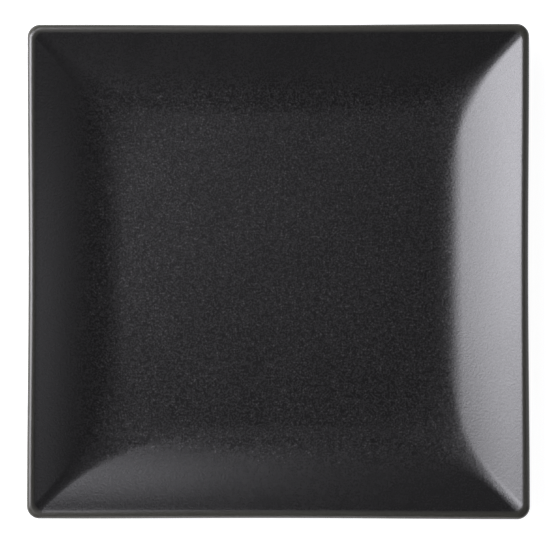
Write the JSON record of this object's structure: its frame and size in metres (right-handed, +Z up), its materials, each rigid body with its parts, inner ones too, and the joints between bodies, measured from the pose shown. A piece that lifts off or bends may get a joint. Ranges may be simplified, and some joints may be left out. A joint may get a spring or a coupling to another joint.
{
  "type": "square plate",
  "caption": "Square dinner plate with a flat floor, broad sloped walls that meet in mitred corners, a rounded lip and a bare foot ring under a matte glaze.",
  "frame": {"origin": "centre of the plane that the foot ring stands on", "axes": "+Z up, out of the plate's open side; +X along its width and +Y along its slightly shorter depth"},
  "size_m": [0.265, 0.261, 0.025],
  "materials": {
    "bare_clay": "unglazed fired clay, fine and gritty",
    "matte_glaze": "matte to satin black with a fine grain",
    "underside_glaze": "matte black with a fine grain"
  },
  "bodies": {
    "root": {"stoneware_body": "bare_clay", "glaze_coat": "matte_glaze", "recess_glaze": "underside_glaze"}
  },
  "joints": []
}
